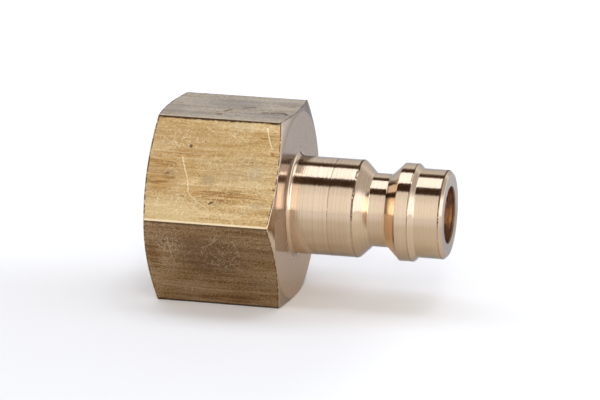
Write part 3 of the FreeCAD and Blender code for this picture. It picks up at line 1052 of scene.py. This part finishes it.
# %% The front flat: it faced up in the bin, and was stained and tarnished there
front = Sheet(front_flat, FRONT)
draw(front)
stain(front, [
    ((-2.6, -0.2), 2.8, 1.6, 1.6, 0.30, (0.54, 0.44, 0.28)),
    ((-9.6, 3.9), 3.6, 1.5, 0.8, 0.55, (0.67, 0.53, 0.30)),
    ((-9.2, -3.0), 3.6, 1.6, 1.4, 0.30, (0.50, 0.35, 0.17)),
    ((-9.9, 0.4), 0.9, 0.5, 1.6, 0.50, (0.25, 0.17, 0.10)),
    ((-8.0, -2.6), 4.5, 1.9, 1.6, 0.40, (0.44, 0.27, 0.11)),
    ((-10.2, 0.5), 2.6, 2.0, 1.2, 0.42, (0.48, 0.32, 0.15)),
    ((-6.3, 0.8), 0.8, 0.6, 2.4, 0.52, (0.38, 0.31, 0.21)),
    ((-2.3, -0.1), 0.8, 0.6, 2.4, 0.35, (0.46, 0.40, 0.30)),
    ((-1.5, 2.9), 1.0, 0.4, 2.4, 0.30, (0.36, 0.30, 0.24)),
])
tarnish(front, [
    ((-4.2, 2.15), 4.0, 0.75, 1.8),
    ((-7.2, 1.9), 1.6, 0.6, 2.0),
    ((-10.9, -0.6), 1.8, 0.7, 2.0),
    ((-10.6, 1.2), 1.8, 0.9, 2.0),
    ((-8.4, -1.5), 2.0, 0.4, 2.0),
    ((-2.0, -3.6), 2.0, 0.4, 2.4),
])
warmer = (1.0, 0.955, 0.905)
front.paint(1.0, warmer, "MULTIPLY")
print(f"{front.name}, stained: {len(front.made.tree.nodes)} nodes")

# %% The front flat's scratches and pits: it took most of the knocks
wear(front, [((-9.0, -2.8), 2.8, 1.3), ((-8.8, 3.2), 3.2, 1.6), ((-4.0, -3.2), 1.4, 0.7)])
scratch(front, 0.75, [
    ((-8.84, -1.15), (-8.10, 0.90), 0.04),
    ((-8.10, 0.90), (-7.90, 2.00), -0.01),
    ((-7.90, 2.00), (-6.10, 3.30), 0.22),
    ((-1.50, -4.30), (-0.80, -2.30), 0.10),
], deep=True)
scratch(front, 0.45, [
    ((-11.9, -1.70), (-6.30, -1.55), 0.05, 0.10),
    ((-10.95, -3.00), (-10.0, -2.40)),
    ((-9.80, -3.40), (-10.0, -2.20)),
    ((-8.80, -2.75), (-8.15, -2.30)),
    ((-10.5, 2.30), (-10.6, 3.45), 0.05),
    ((-7.10, -4.10), (-6.10, -3.45)),
    ((-5.95, 3.40), (-5.70, 4.50), 0.03),
])
bare_marks(front)
dig(front, [
    ((-8.26, -2.20), 1.2, 0.26, 0.20, 1.0),
    ((-5.80, 2.90), -0.5, 0.36, 0.14, 1.0),
    ((-0.25, 1.30), 0.4, 0.26, 0.14, 1.0),
    ((-7.00, -2.70), 0.0, 0.14, 0.12, 0.6),
    ((-0.14, -4.42), 1.2, 0.44, 0.16, 1.0),
    ((-10.1, 0.40), 0.0, 0.20, 0.14, 0.6),
])
rust_spot = oval(front, (-0.80, -2.00), 0.0, 0.22, 0.20, front.grain, 1.0, 0.3)
front.paint(rust_spot * 0.9, (0.36, 0.15, 0.03))
finish(front)

# %% The lower flat: it lay on the bench, and is the dullest, partly from tarnish and partly from painted shade
lower = Sheet(lower_flat, LOWER)
draw(lower, 1.7, bands=0.28, lines=0.20, specks=0.52)
stain(lower, [
    ((-6.0, -1.0), 3.8, 2.6, 1.6, 0.58, (0.28, 0.19, 0.11)),
    ((-8.5, 3.0), 4.0, 0.5, 1.6, 0.45, (0.74, 0.58, 0.34)),
])
tarnish(lower, [((-11.2, -0.5), 0.7, 1.8, 1.8), ((-5.0, 4.1), 4.5, 0.45, 2.0)])
# Partly tarnish and partly painted shade: the whole flat is darkened, more towards its top.
low_tarnish_and_shade, high_tarnish_and_shade = (0.52, 0.445, 0.395), (0.45, 0.37, 0.33)
tarnish_and_shade = blend(lower.made, lower.z.rising(-6.0, -0.5), low_tarnish_and_shade, high_tarnish_and_shade)
lower.paint(1.0, tarnish_and_shade, "MULTIPLY")
wear(lower, [((-5.0, -1.2), 2.8, 2.4), ((-9.6, -2.0), 1.6, 1.6)])
scratch(lower, 0.6, [
    ((-9.65, -3.00), (-9.50, -0.50), 0.06),
    ((-6.70, -2.05), (-5.10, -3.30), 0.15),
    ((-5.15, -3.65), (-5.40, -2.80), 0.08),
    ((-3.75, -3.15), (-3.25, -1.25)),
    ((-4.10, -0.20), (-3.15, 0.60), 0.05),
    ((-10.9, 2.85), (-4.50, 3.15), 0.05, 0.10),
])
# Painted shade: the scratches here show a darker, shaded copy of the clean metal.
bare_marks(lower, (0.55, 0.43, 0.29))
finish(lower, dirt_and_painted_light=0.5, bare_and_highlight_amount=0.0, painted_corner_shade=0.9)

# %% The top flat: dented near the corner of its far end
top = Sheet(top_flat, TOP)
draw(top, 1.25, bands=0.26, lines=0.12, specks=0.62)
stain(top, [
    ((-6.5, -1.5), 3.4, 2.2, 2.4, 0.45, (0.30, 0.22, 0.13)),
    ((-1.8, 2.4), 2.6, 1.2, 2.4, 0.50, (0.28, 0.20, 0.12)),
    ((-1.2, -2.6), 1.6, 1.0, 2.4, 0.45, (0.28, 0.20, 0.12)),
    ((-9.5, 3.2), 3.4, 0.8, 2.4, 0.45, (0.34, 0.22, 0.10)),
])
wear(top)
bare_marks(top)
dent(top, [
    ((-3.03, 1.64), (-2.45, 1.38), 0.0, 0.22),
    ((-2.31, 1.58), (-0.62, 1.94), -0.60, 0.26),
    ((-6.43, 1.85), (-5.90, 1.10), 0.0, 0.20),
    ((-6.74, 3.31), (-6.30, 2.93), 0.0, 0.20),
    ((-5.20, 0.20), (-4.10, -0.60), 0.1, 0.16),
])
dig(top, [
    ((-0.9, -1.6), 0.3, 0.34, 0.20, 0.8),
    ((-4.9, 3.2), 0.1, 0.40, 0.20, 0.6),
    ((-4.5, 0.5), 0.0, 2.4, 1.8, 0.18),
    ((-1.5, 1.0), 0.0, 1.6, 1.4, 0.22),
    ((-11.0, 1.5), 0.0, 1.2, 3.0, 0.18),
])
finish(top, at_a_slant=(0.66, 0.745, 0.93))

# %% [markdown]
# ## The table
#
# Bright metal shows its surroundings more than itself, so what stands round the plug matters as much
# as its finish. It lies on a white table. The neck's underside and the shoulder mirror that table,
# and a table of one white would leave them without shape. So its paper is graded with painted shade: a
# little greyer in front, and whiter behind the plug and to the right of it. The paper is matt, because a
# glossy table would mirror the plug and light it from below.

# %% The table
TABLE_REACH = 1.5                        # metres to each side, so that no edge shows
corners = [
    (across * TABLE_REACH, back * TABLE_REACH, low.z)
    for across, back in ((-1, -1), (1, -1), (1, 1), (-1, 1))
]
table_mesh = bpy.data.meshes.new("table")
table_mesh.from_pydata(corners, [], [(0, 1, 2, 3)])
table = bpy.data.objects.new("table", table_mesh)
bpy.context.scene.collection.objects.link(table)
print(f"the table's top is {-low.z / MM:.2f} mm below the axis")

# %% Its white paper
painted_shade_grey, whitest = (0.888, 0.879, 0.862), (0.985, 0.982, 0.965)
white_paper = bpy.data.materials.new("white_paper")
made, shader, in_mm = finish_bench(white_paper)
x, y, _ = made.parts(in_mm)
# Painted shade: the paper is greyer in front of the plug and to its left.
whiter = y.rising(-6.0, 12.0).or_else(x.rising(4.0, 18.0))
connect(made, blend(made, whiter, painted_shade_grey, whitest), shader.inputs["Base Color"])
shader.inputs["Roughness"].default_value = 0.8
shader.inputs["Specular IOR Level"].default_value = 0.0
table_mesh.materials.append(white_paper)
print(f"{white_paper.name}: {len(made.tree.nodes)} nodes")

# %% [markdown]
# ## The light tent
#
# Small metal things are lit inside a tent of white cloth, so that they mirror nothing but cloth. White
# alone would make the brass look like plastic, so dark card is hung between the cloth and the lamp: its
# reflections are the dark lines that run along the neck. The tent's strips run along X, as the plug
# does, so the level of light depends only on how far a direction has turned from the front horizon over
# the top to the back. One colour ramp on that angle is the whole tent, and gives cleaner edges than
# lamps would. Two things differ to the right: there's a bright low wall, which the neck's cones mirror,
# and a narrow softbox in front, which the shoulder mirrors on to the neck beside it.
#
# The ramp's colours can't be over 1, so they are written as a share of the background's strength.

# %% The tent's strips, from the front horizon over the top to the back
TENT_LEVEL = 3.0
CLOTH = (1.01, 1.015, 1.02)
CARD = (1.15, 0.60, 0.27)
LAMP = (0.90, 0.94, 1.05)


def light(level, tint=(1.0, 1.0, 1.0)):
    """A level of light as a colour, where 1 is the white of the world's plain background."""
    return tuple(level * part / TENT_LEVEL for part in tint)


strips = [                               # degrees from the front horizon, level, and colour
    (0, 1.06, CLOTH), (12, 1.16, CLOTH), (36, 1.16, CLOTH), (46, 1.03, CLOTH), (56, 0.98, CLOTH),
    (60, 0.82, CLOTH), (62, 0.042, CARD), (83.3, 0.042, CARD), (84.3, 1.90, LAMP), (117, 1.90, LAMP),
    (118.5, 0.06, CARD), (130, 0.06, CARD), (135, 0.35, CLOTH), (138, 0.90, CLOTH), (180, 0.92, CLOTH),
]
stops = [(angle / 180, light(level, tint)) for angle, level, tint in strips]
print(len(strips), "stops, from cloth to card, lamp, card and cloth again")

# %% The tent as a world, with a low wall to the right and a softbox in front
SOFTBOX_LEVEL = 11.0                     # what it adds to the tent's level
SOFTBOX = (0.225, 0.09, 0.08)            # its middle, reach and soft border, in a direction's X part
wall_foot, wall_top = light(1.95, LAMP), light(0.62)

world = bpy.data.worlds.new("light_tent")
bpy.context.scene.world = world
world.use_nodes = True
tent = Bench(world.node_tree)
background = world.node_tree.nodes["Background"]
towards = tent.node("ShaderNodeTexCoord", output="Generated")
across, back, up = tent.parts(towards)
turned_up = up.maths("ARCTAN2", back * -1.0) / math.pi
strip = tent.node("ShaderNodeValToRGB", {"stops": stops}, {"Fac": turned_up})
right_wall = blend(tent, up.rising(0.36, 0.48), wall_foot, wall_top)
strip = blend(tent, across.rising(0.35, 0.60), strip, right_wall)
connect(tent, strip, background.inputs["Color"])
softbox = across.near(*SOFTBOX) * back.maths("LESS_THAN", 0.0)
connect(tent, TENT_LEVEL + SOFTBOX_LEVEL * softbox, background.inputs["Strength"])
print(len(world.node_tree.nodes), "nodes in the tent")

# %% [markdown]
# ## The camera
#
# The plug is seen from a little above and from a little to the tip's side, with a long lens, so that
# its sides stay nearly parallel. The camera stands back from the point it looks at along the line of
# sight, and rolls by under a degree, as a camera does that was levelled by eye.

# %% The camera
AZIMUTH, ELEVATION, ROLL = math.radians(13.37), math.radians(13.95), math.radians(0.89)
DISTANCE = 342.7 * MM
LENS = 229.1                             # the focal length in millimetres
LOOKS_AT = Vector((0.24, -0.08, 0.39)) * MM
camera_data = bpy.data.cameras.new("camera")
camera_data.lens = LENS
camera_data.clip_start = 10 * MM
camera = bpy.data.objects.new("camera", camera_data)
bpy.context.scene.collection.objects.link(camera)
sight = Vector((
    math.cos(ELEVATION) * math.sin(AZIMUTH),
    -math.cos(ELEVATION) * math.cos(AZIMUTH),
    math.sin(ELEVATION),
))
facing = sight.to_track_quat("Z", "Y").to_matrix() @ Matrix.Rotation(ROLL, 3, "Z")
camera.matrix_world = Matrix.Translation(LOOKS_AT + sight * DISTANCE) @ facing.to_4x4()
bpy.context.scene.camera = camera
bpy.context.scene.view_settings.view_transform = "Standard"
print(f"the camera stands {DISTANCE / MM:.0f} mm away, with a {LENS:.0f} mm lens")
